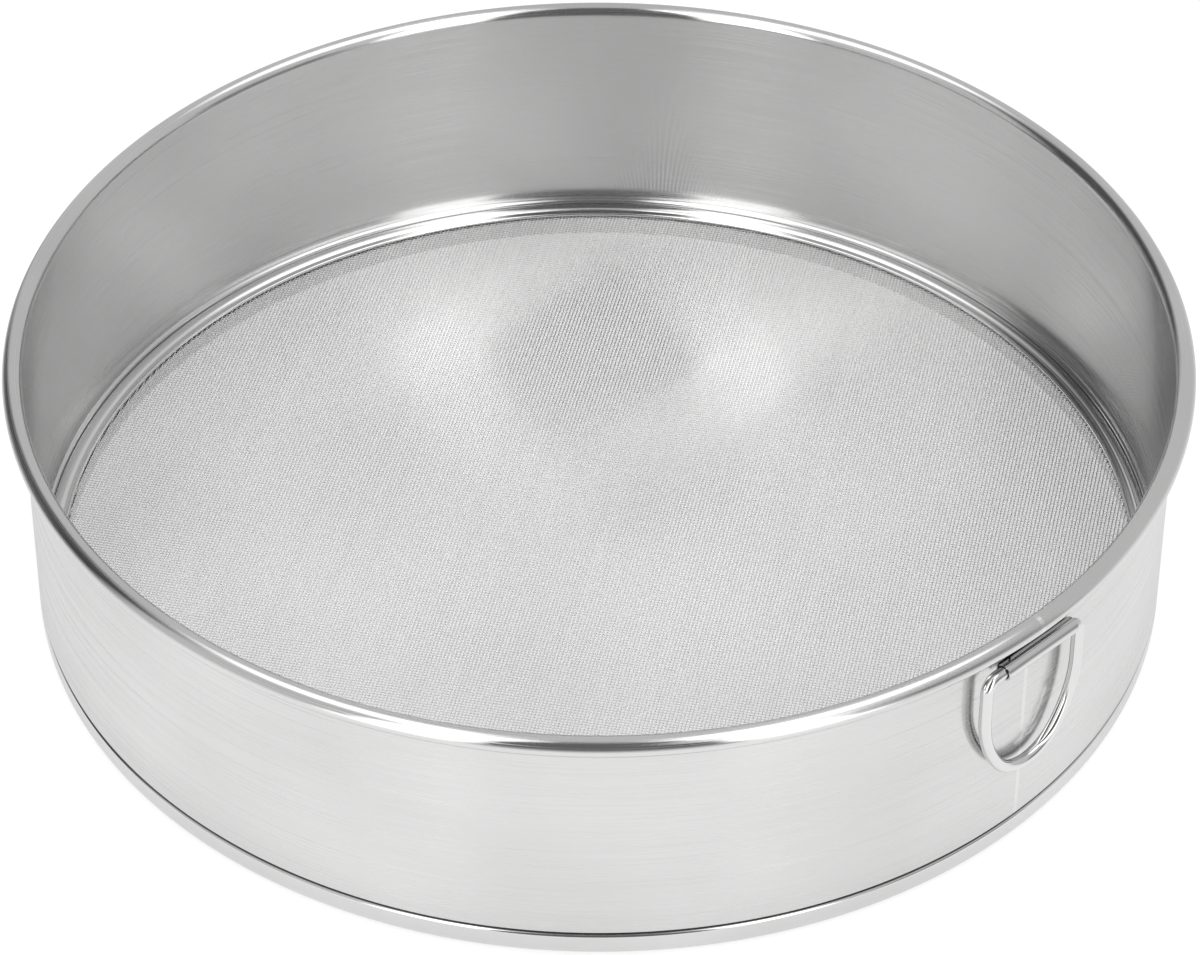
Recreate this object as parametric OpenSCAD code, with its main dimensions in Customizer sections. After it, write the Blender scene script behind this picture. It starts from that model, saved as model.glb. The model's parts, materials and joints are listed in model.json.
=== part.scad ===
// Drum sieve of polished sheet steel, with a wired rim, a clamped wire screen and a hanging ring.
// Lengths are in millimetres. The base rests on z = 0 and the hanging ring is on the -Y side.

/* [Drum] */
// Diameter over the rolled rim
rim_d = 300; // [220:5:400]
// Height from the base to the top of the rim
drum_h = 73.5; // [60:0.5:120]
// Thickness of the wall sheet
wall_t = 0.6; // [0.5:0.05:0.9]
// Width of the weld that closes the wall
seam_w = 1.2; // [0.8:0.1:3]

/* [Rolled rim] */
// Diameter of the wire inside the rim
rim_wire_d = 3.7; // [3.2:0.1:5]
// Gap between the rim wire and the sheet rolled round it
rim_wire_gap = 0.1; // [0.05:0.01:0.2]
// Angle that the sheet is rolled through, in degrees
rim_roll = 315; // [270:5:320]

/* [Foot ring] */
// Thickness of the foot ring's sheet
foot_t = 0.8; // [0.6:0.05:1]
// Height of the band that shows outside
foot_h = 7.3; // [7:0.1:9]
// Width of the channel that the foot ring forms
foot_w = 6.6; // [6.4:0.1:8]
// Outer radius of the lower corner outside
foot_corner_r = 3.4; // [2:0.1:3.6]
// Outer radius of the lower corner inside
foot_inner_r = 2; // [1.2:0.1:2.2]
// Height of the channel's inner edge below that of the outer band
seat_drop = 1.25; // [1:0.05:1.6]

/* [Wall joint] */
// Gap between the wall's stepped lower edge and the foot ring round it
joint_gap = 0.1; // [0.05:0.01:0.2]
// Gap between the foot ring's upper edge and the start of the step
joint_rise = 0.1; // [0.05:0.05:0.5]
// Height over which the wall steps in
step_h = 0.5; // [0.4:0.05:0.8]
// Height of sheet left standing over the step's inner side
step_bend = 0.5; // [0.45:0.05:0.7]

/* [Screen] */
// Diameter of the screen's wires
mesh_wire_d = 0.32; // [0.2:0.02:0.5]
// Distance between neighbouring wires
mesh_pitch = 15.2; // [15:0.1:30]
// Turn of the screen's wires about the drum's axis, in degrees
mesh_turn = 33.6; // [0:0.1:89]
// Clearance where the screen touches its seat, its hoop and its ring
mesh_gap = 0.02; // [0.01:0.01:0.05]
// Diameter of the hoop that stretches the screen
hoop_d = 2.4; // [1.8:0.1:2.5]
// Distance from the foot ring's inner leg to the hoop
hoop_gap = 0.5; // [0.3:0.1:0.7]

/* [Inner ring] */
// Thickness of the inner ring's sheet
ring_t = 0.6; // [0.4:0.05:0.7]
// Width of the bead beside the wall
bead_w = 3.2; // [2.8:0.1:3.4]
// Height of the bead over the valley
bead_h = 0.55; // [0.4:0.05:0.8]
// Diameter of the rounded lip at the ring's inner edge
lip_d = 1; // [0.9:0.05:1.2]
// Height of the valley between lip and bead above the screen
valley_rise = 0.87; // [0.75:0.01:1]
// Overhang of the lip past the foot ring's inner leg
lip_out = 0; // [0:0.05:0.3]
// Height of the skirt that holds the ring in the wall's lower edge
ring_skirt = 3.5; // [2:0.1:3.8]
// Gap between the inner ring and the wall
ring_gap = 0.1; // [0.05:0.05:0.2]

/* [Ring clip] */
// Length of the clip's barrel
barrel_len = 24.3; // [18:0.1:30]
// Sideways distance of the clip's middle from the drum's weld
clip_side = 0.85; // [-2:0.05:2]
// Thickness of the clip's sheet
clip_t = 0.4; // [0.4:0.05:0.6]
// Clearance between the barrel and the ring's wire, all round
clip_gap = 0.25; // [0.2:0.01:0.4]
// Distance of the barrel's axis below the top of the rim
clip_drop = 10.3; // [9.8:0.1:16]
// Distance between the clip's leaf and the wall at the drum's weld
leaf_gap = 0.1; // [0.1:0.01:0.3]
// Width of the clip's leaf
leaf_w = 16; // [12:0.5:18]
// Height of the clip's leaf above the barrel's axis
leaf_h = 4.8; // [4:0.1:5]
// Width of the open slit where the rolled barrel ends
slit_w = 0.3; // [0.1:0.05:0.5]
// Diameter of each spot weld
weld_d = 3; // [2:0.1:3.5]
// Distance between the two spot welds
weld_span = 9; // [6:0.5:12]

/* [Hanging ring] */
// Diameter of the ring's wire
wire_d = 3.1; // [2.4:0.1:3.4]
// Centre-line radius of the two upper bends
bend_r = 3.2; // [2.8:0.1:4]
// Straight wire beyond each end of the barrel when the ring is centred
ring_play = 0.8; // [0.4:0.1:2]
// Gap left between the right bend and the barrel that it has slid into
bend_gap = 0.1; // [0.08:0.01:0.15]
// Distance below the straight side at which the legs start to curve
leg_len = 11.6; // [8:0.1:14]
// Centre-line radius of the loop's bottom
toe_r = 12.6; // [9:0.1:13]

/* [Hidden] */
round_fn = 96;
small_fn = 48;
full_turn = 360;
sector_reach = 2;
cut_over = 1;
// How far the parts of one section run into each other
lap = 0.05;
// Angle by which the bead's arch runs on under its neighbours
bead_lap_a = 4;
// Corners of the sector that trims an arc
sector_n = 4;
// Rolled rim
rim_r = rim_d / 2;
curl_in = rim_wire_d / 2 + rim_wire_gap;
curl_r = curl_in + wall_t;
curl_c = rim_r - curl_r;
curl_z = drum_h - curl_r;
// Wall
wall_in = curl_c - curl_r;
wall_out = wall_in + wall_t;
seam_a = 2 * asin(seam_w / 2 / wall_out);
seam_start = full_turn * 3 / 4 - seam_a / 2;
// Stepped joint with the foot ring
step_in = foot_t + joint_gap;
step_z = foot_h + joint_rise;
skirt_z = foot_corner_r + joint_gap;
ledge_in = wall_in - step_in;
// Foot ring
foot_in = wall_out - foot_w;
seat_z = foot_h - seat_drop;
// Screen
mesh_z = seat_z + mesh_gap + mesh_wire_d / 2;
mesh_top = mesh_z + 1.5 * mesh_wire_d + mesh_gap;
hoop_c = foot_in + foot_t + hoop_gap + hoop_d / 2;
hoop_z = seat_z - hoop_d / 2;
mesh_r = hoop_c + hoop_d / 2;
// Inner ring
ring_out = ledge_in - ring_gap;
lip_z = mesh_top + mesh_gap + lip_d / 2;
lip_c = foot_in - lip_out + lip_d / 2;
valley_z = mesh_top + valley_rise;
bead_r = bead_w * bead_w / (8 * bead_h) + bead_h / 2;
bead_c = ring_out - bead_w / 2;
bead_z = valley_z + bead_h - bead_r;
skirt_base = valley_z - ring_skirt;
// Clip
bore_r = wire_d / 2 + clip_gap;
barrel_r = bore_r + clip_t;
axis_y = wall_out + leaf_gap + barrel_r;
axis_z = drum_h - clip_drop;
// Hanging ring, whose side arcs turn through the sharp angle of a 3-4-5 triangle
tri_rise = 3;
tri_run = 4;
straight = barrel_len + 2 * ring_play;
leg_x = straight / 2 + bend_r;
bend_in_r = bend_r - wire_d / 2;
bend_drop = clip_gap - bend_gap;
ring_slide = ring_play + sqrt(2 * bend_in_r * bend_drop - bend_drop * bend_drop);
side_a = atan(tri_rise / tri_run);
side_r = leg_x + tri_run * (leg_x - toe_r);
toe_z = leg_len + tri_rise * (leg_x - toe_r);

// Closed ring made by turning a flat section about the drum's axis
module turned() {
    rotate_extrude($fn = round_fn) children();
}

// Flat ring between two radii, kept from the angle a to the angle b
module arc_band(r_in, r_out, a, b) {
    intersection() {
        difference() {
            circle(r = r_out, $fn = small_fn);
            circle(r = r_in, $fn = small_fn);
        }
        polygon([[0, 0],
            for (i = [0:sector_n]) sector_reach * r_out
                * [cos(a + i * (b - a) / sector_n), sin(a + i * (b - a) / sector_n)]]);
    }
}

// Quarter disc that rounds one edge of a sheet
module edge_quarter(r) {
    intersection() {
        circle(r = r, $fn = small_fn);
        translate([0, -lap]) square([r, r + lap]);
    }
}

// Section of the wall sheet, from the stepped lower edge to the rolled rim
module wall_section() {
    polygon([[ledge_in, skirt_z], [wall_out - step_in, skirt_z], [wall_out - step_in, step_z],
        [wall_out, step_z + step_h], [wall_out, curl_z], [wall_in, curl_z],
        [wall_in, step_z + step_h + step_bend], [ledge_in, step_z + step_bend]]);
    translate([curl_c, curl_z]) arc_band(curl_in, curl_r, 180 - rim_roll, 180);
}

// Hoop of sheet steel, open by the width of its closing weld
module drum_wall() {
    color([0.80, 0.80, 0.81])
        rotate([0, 0, seam_start + seam_a])
            rotate_extrude(angle = full_turn - seam_a, $fn = round_fn) wall_section();
}

// Weld that closes the hoop from the lower edge to the rim
module seam_weld() {
    color([0.70, 0.70, 0.71])
        rotate([0, 0, seam_start])
            rotate_extrude(angle = seam_a, $fn = round_fn) wall_section();
}

// Wire that the rim is rolled round
module rim_wire() {
    color([0.62, 0.62, 0.63])
        turned() translate([curl_c, curl_z]) circle(d = rim_wire_d, $fn = small_fn);
}

// Channel of rolled sheet: outer band, flat underside and inner leg
module foot_section() {
    land_w = foot_w - foot_corner_r - foot_inner_r;
    band_x = wall_out - foot_t;
    translate([band_x, foot_corner_r]) square([foot_t, foot_h - foot_t - foot_corner_r]);
    translate([band_x, foot_h - foot_t]) edge_quarter(foot_t);
    translate([wall_out - foot_corner_r, foot_corner_r])
        arc_band(foot_corner_r - foot_t, foot_corner_r, 270, 360);
    translate([foot_in + foot_inner_r, 0]) square([land_w, foot_t]);
    translate([foot_in + foot_inner_r, foot_inner_r])
        arc_band(foot_inner_r - foot_t, foot_inner_r, 180, 270);
    translate([foot_in, foot_inner_r]) square([foot_t, seat_z - foot_inner_r]);
}

module foot_ring() {
    color([0.78, 0.78, 0.79]) turned() foot_section();
}

// Pressed ring that grips the screen: rounded lip, valley, bead and a skirt on the wall's ledge
module ring_section() {
    bead_a = asin(bead_w / 2 / bead_r) + bead_lap_a;
    translate([lip_c, lip_z]) circle(d = lip_d, $fn = small_fn);
    translate([lip_c, valley_z - ring_t]) square([ring_out - bead_w + ring_t - lip_c, ring_t]);
    intersection() {
        translate([bead_c, bead_z]) arc_band(bead_r - ring_t, bead_r, 90 - bead_a, 90 + bead_a);
        translate([bead_c - bead_w / 2 - lap, skirt_base]) square([bead_w + lap, valley_z + bead_h]);
    }
    translate([ring_out - ring_t, skirt_base]) square([ring_t, ring_skirt - 2 * lap]);
}

module inner_ring() {
    color([0.82, 0.82, 0.83]) turned() ring_section();
}

// One layer of parallel wires, each cut to the chord of the screen at its place
module wire_layer() {
    rows = floor((mesh_r - mesh_pitch / 2) / mesh_pitch);
    for (i = [-rows - 1:rows]) {
        offset_y = (i + 0.5) * mesh_pitch;
        half = sqrt(mesh_r * mesh_r - offset_y * offset_y);
        translate([-half, offset_y, 0])
            rotate([0, 90, 0]) cylinder(d = mesh_wire_d, h = 2 * half, $fn = small_fn);
    }
}

// Screen of straight wires laid crosswise, gripped between the foot ring and the inner ring
module screen_mesh() {
    color([0.72, 0.72, 0.72])
        rotate([0, 0, mesh_turn]) {
            translate([0, 0, mesh_z]) wire_layer();
            translate([0, 0, mesh_z + mesh_wire_d + mesh_gap]) rotate([0, 0, 90]) wire_layer();
        }
}

// Hoop under the ends of the screen's wires
module screen_hoop() {
    color([0.60, 0.60, 0.61])
        turned() translate([hoop_c, hoop_z]) circle(d = hoop_d, $fn = small_fn);
}

// Section of the clip in the plane across its barrel, with the wall on the right
module clip_section() {
    difference() {
        circle(r = barrel_r, $fn = small_fn);
        circle(r = bore_r, $fn = small_fn);
        translate([barrel_r - clip_t - slit_w, 0]) square([slit_w, 2 * barrel_r]);
    }
    translate([barrel_r - clip_t, 0]) square([clip_t, leaf_h]);
}

module ring_clip() {
    color([0.76, 0.76, 0.77])
        translate([clip_side - barrel_len / 2, -axis_y, axis_z])
            difference() {
                rotate([90, 0, 90]) linear_extrude(barrel_len) clip_section();
                for (x = [-cut_over, (barrel_len + leaf_w) / 2])
                    translate([x, barrel_r - clip_t, bore_r])
                        cube([(barrel_len - leaf_w) / 2 + cut_over, 2 * clip_t, leaf_h]);
            }
}

// Spot welds between the clip's leaf and the wall, each reaching the wall at its inner edge
module clip_welds() {
    color([0.55, 0.55, 0.56])
        for (side = [-1, 1]) {
            weld_x = clip_side + side * weld_span / 2;
            near_x = abs(weld_x) - weld_d / 2;
            reach = wall_out + leaf_gap - sqrt(wall_out * wall_out - near_x * near_x);
            translate([weld_x, -wall_out - leaf_gap, axis_z + leaf_h / 2])
                rotate([-90, 0, 0]) cylinder(d = weld_d, h = reach, $fn = small_fn);
        }
}

// Arc of the ring's wire in the plane of the ring, from the angle a to the angle b
module wire_arc(r, a, b) {
    rotate([90, 0, 0])
        rotate([0, 0, a])
            rotate_extrude(angle = b - a, $fn = round_fn) translate([r, 0]) circle(d = wire_d, $fn = small_fn);
}

// D-shaped ring of round wire, hanging straight down and slid to the left in the barrel
module hanging_ring() {
    color([0.82, 0.82, 0.83])
        translate([clip_side - ring_slide, -axis_y, axis_z]) {
            translate([-straight / 2, 0, 0]) rotate([0, 90, 0]) cylinder(d = wire_d, h = straight, $fn = small_fn);
            for (side = [0, 1]) mirror([side, 0, 0]) {
                translate([straight / 2, 0, -bend_r]) wire_arc(bend_r, 0, 90);
                translate([leg_x, 0, -leg_len]) cylinder(d = wire_d, h = leg_len - bend_r, $fn = small_fn);
                translate([leg_x - side_r, 0, -leg_len]) wire_arc(side_r, -side_a, 0);
                translate([0, 0, -toe_z]) wire_arc(toe_r, -90, -side_a);
            }
        }
}

drum_wall();
seam_weld();
rim_wire();
foot_ring();
inner_ring();
screen_mesh();
screen_hoop();
ring_clip();
clip_welds();
hanging_ring();
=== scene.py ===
"""Looks of a stainless steel drum sieve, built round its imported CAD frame.

Lengths are in metres. The sieve stands on z = 0, its axis is Z, and the hanging ring is on the -Y side.
"""

import json
import logging
import math
from dataclasses import dataclass
from enum import Enum

import bmesh
import bpy
from bmesh.types import BMEdge, BMesh, BMFace, BMVert
from bpy.types import Material, Node, NodeSocket, NodeTree, Object
from mathutils import Matrix, Vector

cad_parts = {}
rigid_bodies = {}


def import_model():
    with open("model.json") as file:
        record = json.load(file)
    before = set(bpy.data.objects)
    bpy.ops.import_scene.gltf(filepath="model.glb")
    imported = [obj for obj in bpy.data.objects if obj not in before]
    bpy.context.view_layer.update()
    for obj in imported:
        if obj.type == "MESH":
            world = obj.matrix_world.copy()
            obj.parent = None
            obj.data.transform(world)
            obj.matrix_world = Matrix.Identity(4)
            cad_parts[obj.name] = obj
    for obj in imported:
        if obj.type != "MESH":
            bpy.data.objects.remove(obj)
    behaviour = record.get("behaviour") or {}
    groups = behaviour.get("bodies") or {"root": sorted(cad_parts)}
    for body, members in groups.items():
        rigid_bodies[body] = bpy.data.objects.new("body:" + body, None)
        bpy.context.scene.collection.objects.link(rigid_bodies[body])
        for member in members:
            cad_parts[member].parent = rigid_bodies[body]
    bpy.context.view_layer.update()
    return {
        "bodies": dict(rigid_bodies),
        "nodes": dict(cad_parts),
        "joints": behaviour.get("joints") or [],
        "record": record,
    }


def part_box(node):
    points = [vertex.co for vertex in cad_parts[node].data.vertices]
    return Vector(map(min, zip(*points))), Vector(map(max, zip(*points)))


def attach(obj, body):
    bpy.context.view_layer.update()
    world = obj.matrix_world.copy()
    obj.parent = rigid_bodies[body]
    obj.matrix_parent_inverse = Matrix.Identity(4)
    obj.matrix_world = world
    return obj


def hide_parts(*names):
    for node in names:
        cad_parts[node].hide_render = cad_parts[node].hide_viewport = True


log = logging.getLogger("drum_sieve")

MM = 0.001
FULL_TURN = 2 * math.pi
QUARTER_TURN = math.pi / 2
Z_AXIS = Vector((0, 0, 1))
SECTION_AXIS = Vector((0, -1, 0))
MERGE_GAP = 1e-6


class Body(Enum):
    """CAD bodies that the pieces ride on."""

    DRUM = "drum"
    RING = "hanging_ring"


class Slot(Enum):
    """Material slots of the record."""

    WALL = "drum_sheet"
    SEAM = "seam_metal"
    FOOT = "foot_sheet"
    INNER = "ring_sheet"
    SCREEN = "screen_wire"
    CLIP = "clip_sheet"
    RING = "ring_wire"


# Sections and wires


class Section:
    """Outline of a sheet's section, drawn from point to point at y = 0 and then turned or drawn out."""

    HOLD = 0.15 * MM
    HOLD_ROOM = 4
    SECTORS = 16

    def __init__(self, x: float, z: float) -> None:
        """Starts the outline.

        Args:
            x: The first point's place across the section.
            z: Its height.
        """
        self.bm = bmesh.new()
        self.end = self.bm.verts.new((x, 0, z))
        self.soft_corners: list[tuple[BMVert, float]] = []

    def _step_to(self, place: Vector) -> None:
        """Adds one straight edge from the last point.

        Args:
            place: The new last point.
        """
        drawn = bmesh.ops.extrude_vert_indiv(self.bm, verts=[self.end])
        self.end = drawn["verts"][0]
        bmesh.ops.translate(self.bm, verts=[self.end], vec=place - self.end.co)

    def line(self, x: float, z: float, soften: float = 0.0) -> "Section":
        """Draws a straight stretch, held flat by a point near each end where there is room for them.

        Args:
            x: Place of the stretch's end across the section.
            z: Height of that end.
            soften: Length cut back on both sides of the end where the corner is rounded.

        Returns:
            The section, for the next stretch.
        """
        start = self.end.co.copy()
        goal = Vector((x, 0, z))
        way = goal - start
        inset = way.normalized() * (self.HOLD + soften)
        if way.length > self.HOLD_ROOM * inset.length:
            self._step_to(start + way.normalized() * self.HOLD)
            self._step_to(goal - inset)
        self._step_to(goal)
        if soften:
            self.soft_corners.append((self.end, soften))
        return self

    def arc(self, x: float, z: float, degrees: float, steps: int) -> "Section":
        """Draws an arc about a centre, anticlockwise where degrees is above zero.

        Args:
            x: Centre's place across the section.
            z: Centre's height.
            degrees: Angle turned through.
            steps: Number of edges.

        Returns:
            The section, for the next stretch.
        """
        turned = bmesh.ops.spin(self.bm, geom=[self.end], cent=(x, 0, z), axis=SECTION_AXIS,
                                angle=math.radians(degrees), steps=steps)
        self.end = turned["geom_last"][0]
        return self

    def close(self, corner_steps: int = 4) -> "Section":
        """Joins the last point to the first and rounds the soft corners.

        Args:
            corner_steps: Number of edges in a rounded corner.

        Returns:
            The closed section.
        """
        bmesh.ops.remove_doubles(self.bm, verts=self.bm.verts, dist=MERGE_GAP)
        for corner, offset in self.soft_corners:
            bmesh.ops.bevel(self.bm, geom=[corner], offset=offset, segments=corner_steps, profile=0.5,
                            affect="VERTICES", material=-1)
        return self

    def turn(self, start: float, sweep: float, steps: int) -> BMesh:
        """Turns the section about the drum's axis: one sector first, which is then repeated.

        Args:
            start: Angle of the first end from +X.
            sweep: Angle turned through.
            steps: Number of faces round the turn.

        Returns:
            The closed ring, or an open hoop with its two ends filled.
        """
        sectors = math.gcd(steps, self.SECTORS)
        part = sweep / sectors
        bmesh.ops.rotate(self.bm, verts=self.bm.verts, cent=(0, 0, 0), matrix=Matrix.Rotation(start, 3, "Z"))
        outline = self.bm.verts[:] + self.bm.edges[:]
        bmesh.ops.spin(self.bm, geom=outline, cent=(0, 0, 0), axis=Z_AXIS, angle=part, steps=steps // sectors)
        if sectors > 1:
            sector = self.bm.verts[:] + self.bm.edges[:] + self.bm.faces[:]
            bmesh.ops.spin(self.bm, geom=sector, cent=(0, 0, 0), axis=Z_AXIS, angle=sweep - part,
                           steps=sectors - 1, use_duplicate=True)
        bmesh.ops.remove_doubles(self.bm, verts=self.bm.verts, dist=MERGE_GAP)
        if not math.isclose(sweep, FULL_TURN):
            rims = [edge for edge in self.bm.edges if edge.is_boundary]
            bmesh.ops.holes_fill(self.bm, edges=rims, sides=0)
        bmesh.ops.recalc_face_normals(self.bm, faces=self.bm.faces)
        return self.bm


class BentWire:
    """Round wire drawn along straights and bends in the plane y = its start's y."""

    HOLD_SHARE = 1 / 8
    END_GAP = 10 * MERGE_GAP

    def __init__(self, start: Vector, radius: float, sides: int) -> None:
        """Starts with a circle across a wire that runs towards +X.

        Args:
            start: Middle of the first circle.
            radius: The wire's radius.
            sides: Number of faces round the wire.
        """
        self.bm = bmesh.new()
        self.hold = radius * self.HOLD_SHARE
        made = bmesh.ops.create_circle(self.bm, cap_ends=False, segments=sides, radius=radius,
                                       matrix=Matrix.Translation(start) @ Matrix.Rotation(QUARTER_TURN, 4, "Y"))
        self.head = list({edge for vert in made["verts"] for edge in vert.link_edges})
        self.place = start.copy()
        self.heading = 0.0

    def _draw_out(self, length: float) -> None:
        """Draws the head circle out along the wire's heading.

        Args:
            length: Length drawn.
        """
        way = Vector((math.cos(self.heading), 0, math.sin(self.heading))) * length
        drawn = bmesh.ops.extrude_edge_only(self.bm, edges=self.head)["geom"]
        self.head = [item for item in drawn if isinstance(item, BMEdge)
                     and all(vert in drawn for vert in item.verts) and not item.link_faces[1:]]
        verts = list({vert for edge in self.head for vert in edge.verts})
        bmesh.ops.translate(self.bm, verts=verts, vec=way)
        self.place += way

    def straight(self, length: float) -> "BentWire":
        """Draws a straight stretch, held by a circle near each end.

        Args:
            length: Length drawn.

        Returns:
            The wire, for the next stretch.
        """
        for part in (self.hold, length - 2 * self.hold, self.hold):
            self._draw_out(part)
        return self

    def bend(self, radius: float, degrees: float, steps: int) -> "BentWire":
        """Bends the wire clockwise, as seen from the ring's front.

        Args:
            radius: Radius of the bend's centre line.
            degrees: Angle turned through.
            steps: Number of rings of faces along the bend.

        Returns:
            The wire, for the next stretch.
        """
        angle = math.radians(degrees)
        inward = Vector((math.sin(self.heading), 0, -math.cos(self.heading))) * radius
        centre = self.place + inward
        verts = list({vert for edge in self.head for vert in edge.verts})
        turned = bmesh.ops.spin(self.bm, geom=self.head + verts, cent=centre, axis=SECTION_AXIS, angle=-angle,
                                steps=steps)
        self.head = [item for item in turned["geom_last"] if isinstance(item, BMEdge)]
        self.heading -= angle
        outward = -inward
        outward.rotate(Matrix.Rotation(angle, 3, "Y"))
        self.place = centre + outward
        return self

    def join_ends(self) -> BMesh:
        """Merges the last circle with the first one.

        Returns:
            The closed wire.
        """
        bmesh.ops.remove_doubles(self.bm, verts=self.bm.verts, dist=self.END_GAP)
        bmesh.ops.recalc_face_normals(self.bm, faces=self.bm.faces)
        return self.bm


def make_piece(name: str, bm: BMesh, body: Body, material: Material,
               stands_for: tuple[str, ...], crease: float = 35.0) -> Object:
    """Turns a finished bmesh into a piece of the sieve.

    Args:
        name: The piece's name.
        bm: Its mesh, which is freed here.
        body: CAD body that it rides on.
        material: Its finish.
        stands_for: CAD nodes that it replaces.
        crease: Angle in degrees past which an edge stays sharp.

    Returns:
        The new object.
    """
    mesh = bpy.data.meshes.new(name)
    bm.to_mesh(mesh)
    bm.free()
    mesh.shade_smooth()
    mesh.set_sharp_from_angle(angle=math.radians(crease))
    mesh.materials.append(material)
    piece = bpy.data.objects.new(name, mesh)
    bpy.context.scene.collection.objects.link(piece)
    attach(piece, body.value)
    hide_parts(*stands_for)
    log.info("%s: %d faces, rides on %s", name, len(mesh.polygons), body.value)
    return piece


def dress_node(frame: dict, node: str, material: Material) -> None:
    """Gives a CAD node that stays in place its real finish.

    Args:
        frame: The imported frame.
        node: The node's name.
        material: Its finish.
    """
    mesh = frame["nodes"][node].data
    mesh.materials.clear()
    mesh.materials.append(material)
    log.info("%s: CAD node kept, dressed in %s", node, material.name)


# Finishes


class NodeBench:
    """Places nodes in a node tree and joins their sockets."""

    def __init__(self, tree: NodeTree) -> None:
        """Takes the tree to work in."""
        self.tree = tree

    def add(self, kind: str, **settings: object) -> Node:
        """Adds a node.

        Args:
            kind: Blender's name for the type of node.
            settings: Properties to set by name.

        Returns:
            The new node.
        """
        node = self.tree.nodes.new(kind)
        for name, value in settings.items():
            setattr(node, name, value)
        return node

    def join(self, source: NodeSocket, target: NodeSocket) -> None:
        """Links an output to an input."""
        self.tree.links.new(source, target)

    def math(self, operation: str, first: NodeSocket, second: object = None) -> NodeSocket:
        """Adds a Math node.

        Args:
            operation: Blender's name for the sum.
            first: Socket that feeds the first input.
            second: Socket or number for the second input, where it has one.

        Returns:
            The node's output.
        """
        node = self.add("ShaderNodeMath", operation=operation)
        self.join(first, node.inputs[0])
        if isinstance(second, NodeSocket):
            self.join(second, node.inputs[1])
        elif second is not None:
            node.inputs[1].default_value = second
        return node.outputs[0]

    def spread(self, source: NodeSocket, low: float, high: float, to_low: float,
               to_high: float) -> NodeSocket:
        """Maps a range onto another one and clamps what lies outside.

        Args:
            source: Socket that gives the value.
            low: Start of its range.
            high: End of its range.
            to_low: What the start becomes.
            to_high: What the end becomes.

        Returns:
            The node's output.
        """
        node = self.add("ShaderNodeMapRange")
        self.join(source, node.inputs["Value"])
        for name, value in (("From Min", low), ("From Max", high), ("To Min", to_low), ("To Max", to_high)):
            node.inputs[name].default_value = value
        return node.outputs["Result"]

    def split(self, vector: NodeSocket) -> tuple[NodeSocket, ...]:
        """Parts a vector.

        Args:
            vector: Socket that gives it.

        Returns:
            Its three coordinates.
        """
        node = self.add("ShaderNodeSeparateXYZ")
        self.join(vector, node.inputs[0])
        return tuple(node.outputs)

    def radius(self, x: NodeSocket, y: NodeSocket) -> NodeSocket:
        """Distance from the drum's axis, from the first two coordinates."""
        squares = self.math("ADD", self.math("MULTIPLY", x, x), self.math("MULTIPLY", y, y))
        return self.math("SQRT", squares)

    def facing(self, way: NodeSocket, axis: Vector) -> NodeSocket:
        """Tells how far a way points along an axis.

        Args:
            way: Socket that gives the way.
            axis: Unit vector to compare it with.

        Returns:
            A number from -1, against the axis, to 1, along it.
        """
        unit = self.add("ShaderNodeVectorMath", operation="NORMALIZE")
        self.join(way, unit.inputs[0])
        along = self.add("ShaderNodeVectorMath", operation="DOT_PRODUCT")
        self.join(unit.outputs[0], along.inputs[0])
        along.inputs[1].default_value = axis
        return along.outputs["Value"]

    def noise(self, place: NodeSocket, detail: float, breakup: float = 0.5) -> Node:
        """Adds a noise of about one feature to a unit.

        Args:
            place: Coordinates that it follows.
            detail: Number of finer layers.
            breakup: Strength of each finer layer.

        Returns:
            The node, whose first output is the noise.
        """
        node = self.add("ShaderNodeTexNoise")
        self.join(place, node.inputs["Vector"])
        for name, value in (("Scale", 1.0), ("Detail", detail), ("Roughness", breakup)):
            node.inputs[name].default_value = value
        return node

    def effect(self, group: NodeTree, place: NodeSocket, **values: float
               ) -> NodeSocket:
        """Places a shared group.

        Args:
            group: The group.
            place: Socket that feeds its first input.
            values: Its other inputs by name.

        Returns:
            Its output.
        """
        node = self.add("ShaderNodeGroup", node_tree=group)
        self.join(place, node.inputs[0])
        for name, value in values.items():
            node.inputs[name].default_value = value
        return node.outputs[0]

    def tint(self, tone: NodeSocket, warmth: float, target: NodeSocket) -> None:
        """Feeds a colour input with a grey.

        Args:
            tone: The grey's tone.
            warmth: What red gains and blue loses.
            target: The colour input.
        """
        colour = self.add("ShaderNodeCombineColor")
        for channel, offset in enumerate((warmth, 0.0, -warmth)):
            self.join(self.math("ADD", tone, offset), colour.inputs[channel])
        self.join(colour.outputs[0], target)

    def bump(self, height: NodeSocket, depth: float, target: NodeSocket) -> None:
        """Feeds a normal input with a bump.

        Args:
            height: The bump's height over the surface.
            depth: Real depth of one unit of it.
            target: The normal input.
        """
        node = self.add("ShaderNodeBump")
        node.inputs["Distance"].default_value = depth
        self.join(height, node.inputs["Height"])
        self.join(node.outputs[0], target)

    def mix_shaders(self, share: NodeSocket, first: Node, second: Node
                    ) -> Node:
        """Mixes two shaders.

        Args:
            share: Share of the second one.
            first: First shader node.
            second: Second shader node.

        Returns:
            The mixing node.
        """
        node = self.add("ShaderNodeMixShader")
        for source, target in zip((share, first.outputs[0], second.outputs[0]), node.inputs):
            self.join(source, target)
        return node


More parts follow.
